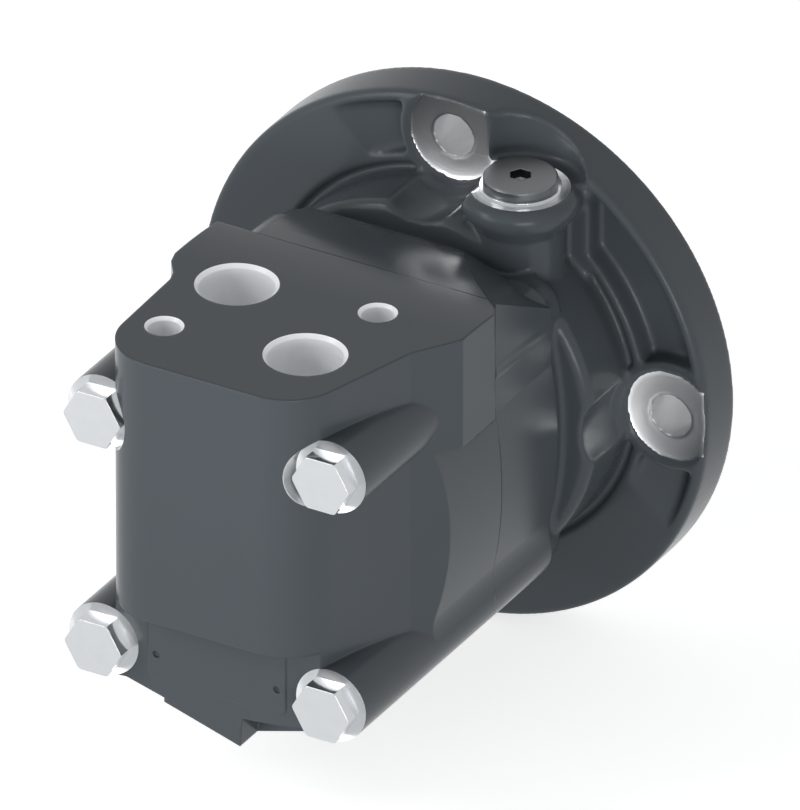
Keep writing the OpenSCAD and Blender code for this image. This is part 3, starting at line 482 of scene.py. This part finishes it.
def cast_fillets(name, on_cast_skin, finish):
    """The casting with its edges truly rounded and its cut places left as they are."""
    piece = bpy.data.objects.new(name + "_cast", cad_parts[name].data.copy())
    bpy.context.scene.collection.objects.link(piece)
    remesh = piece.modifiers.new("fine skin", "REMESH")
    remesh.mode = "VOXEL"
    remesh.voxel_size = CAST_VOXEL
    mesh = evaluated_mesh(piece)
    piece.modifiers.clear()
    piece.data = mesh
    soft = piece.vertex_groups.new(name="cast skin")
    soft.add([vertex.index for vertex in mesh.vertices if on_cast_skin(vertex.co)], 1.0, "REPLACE")
    smooth = piece.modifiers.new("fillets", "SMOOTH")
    smooth.factor = CAST_SMOOTHING
    smooth.iterations = CAST_ROUNDS
    smooth.vertex_group = soft.name
    mesh = evaluated_mesh(piece)
    piece.modifiers.clear()
    piece.vertex_groups.clear()
    piece.data = mesh
    mesh.shade_smooth()
    mesh.set_sharp_from_angle(angle=math.radians(CAST_SHARP))
    mesh.materials.clear()
    mesh.materials.append(finish)
    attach(piece, BODY_OF_CASTINGS)
    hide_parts(name)
    return piece


cast_fillets("front_housing", on_flange_skin, flange_paint)


def add_camera():
    """Long lens from 30 degrees right of the rear and 30 degrees up."""
    lens = 1500
    sensor = 36
    view_height = 238.2 * MM
    aim = Vector((0, -48.35, -1.94)) * MM
    azimuth = math.radians(30)
    elevation = math.radians(30)
    outward = Vector((math.sin(azimuth) * math.cos(elevation), -math.cos(azimuth) * math.cos(elevation),
                      math.sin(elevation)))
    data = bpy.data.cameras.new("camera")
    data.lens = lens
    data.sensor_width = sensor
    data.clip_end = 100
    camera = bpy.data.objects.new("camera", data)
    camera.location = aim + outward * view_height * lens / sensor
    camera.rotation_euler = outward.to_track_quat("Z", "Y").to_euler()
    bpy.context.scene.collection.objects.link(camera)
    bpy.context.scene.camera = camera


def add_soft_box(name, place, size, power):
    """Rectangular lamp that looks at the middle of the motor."""
    data = bpy.data.lights.new(name, "AREA")
    data.shape = "RECTANGLE"
    data.size, data.size_y = size
    data.energy = power
    lamp = bpy.data.objects.new(name, data)
    lamp.location = place
    lamp.rotation_euler = (Vector(place) - Vector(LAMPS_AIM)).to_track_quat("Z", "Y").to_euler()
    bpy.context.scene.collection.objects.link(lamp)


def seen_directly(bench):
    """1 for the camera's rays and for rays that a mirror or glass sends on."""
    path = bench.add("ShaderNodeLightPath").outputs
    rays = [path["Is Camera Ray"], path["Is Glossy Ray"], path["Is Transmission Ray"]]
    return gather(bench, "MAXIMUM", rays)


def add_world():
    """White where it is seen, and an even soft light on the object."""
    world = bpy.data.worlds.new("studio")
    bpy.context.scene.world = world
    world.use_nodes = True
    world.node_tree.nodes.clear()
    bench = Bench(world.node_tree)
    white = bench.add("ShaderNodeBackground", {"Color": WHITE, "Strength": 1.0})
    place = bench.add("ShaderNodeTexCoord").outputs["Generated"]
    height = bench.add("ShaderNodeSeparateXYZ", {0: place}).outputs["Z"]
    overhead = bench.maths("MAXIMUM", height, 0.0)
    strength = bench.maths("MULTIPLY_ADD", overhead, ZENITH_LIGHT - HORIZON_LIGHT, HORIZON_LIGHT)
    soft = bench.add("ShaderNodeBackground", {"Color": SKY_TINT, "Strength": strength})
    mix = bench.add("ShaderNodeMixShader",
                    {0: seen_directly(bench), 1: soft.outputs[0], 2: white.outputs[0]})
    bench.add("ShaderNodeOutputWorld", {"Surface": mix.outputs[0]})


def add_floor():
    """Plain pale floor under the flange, white where it is lit, and open from below."""
    z = FLANGE_UNDERSIDE * MM - FLOOR_DROP
    mesh = bpy.data.meshes.new("floor")
    corners = [(x * FLOOR_HALF, y * FLOOR_HALF, z) for x, y in ((-1, -1), (1, -1), (1, 1), (-1, 1))]
    mesh.from_pydata(corners, [], [(0, 1, 2, 3)])
    floor = bpy.data.objects.new("floor", mesh)
    bpy.context.scene.collection.objects.link(floor)
    material = bpy.data.materials.new("pale floor")
    material.use_nodes = True
    material.node_tree.nodes.clear()
    bench = Bench(material.node_tree)
    paper = bench.add("ShaderNodeBsdfDiffuse", {"Color": FLOOR_TONE})
    glow = bench.maths("MULTIPLY", seen_directly(bench), FLOOR_LIFT)
    lift = bench.add("ShaderNodeEmission", {"Color": WHITE, "Strength": glow})
    lit = bench.add("ShaderNodeAddShader", {0: paper.outputs[0], 1: lift.outputs[0]})
    clear = bench.add("ShaderNodeBsdfTransparent")
    below = bench.add("ShaderNodeNewGeometry").outputs["Backfacing"]
    surface = bench.add("ShaderNodeMixShader", {0: below, 1: lit.outputs[0], 2: clear.outputs[0]})
    bench.add("ShaderNodeOutputMaterial", {"Surface": surface.outputs[0]})
    mesh.materials.append(material)


add_camera()
add_world()
add_floor()
for box in SOFT_BOXES:
    add_soft_box(*box)
bpy.context.scene.view_settings.view_transform = "Standard"
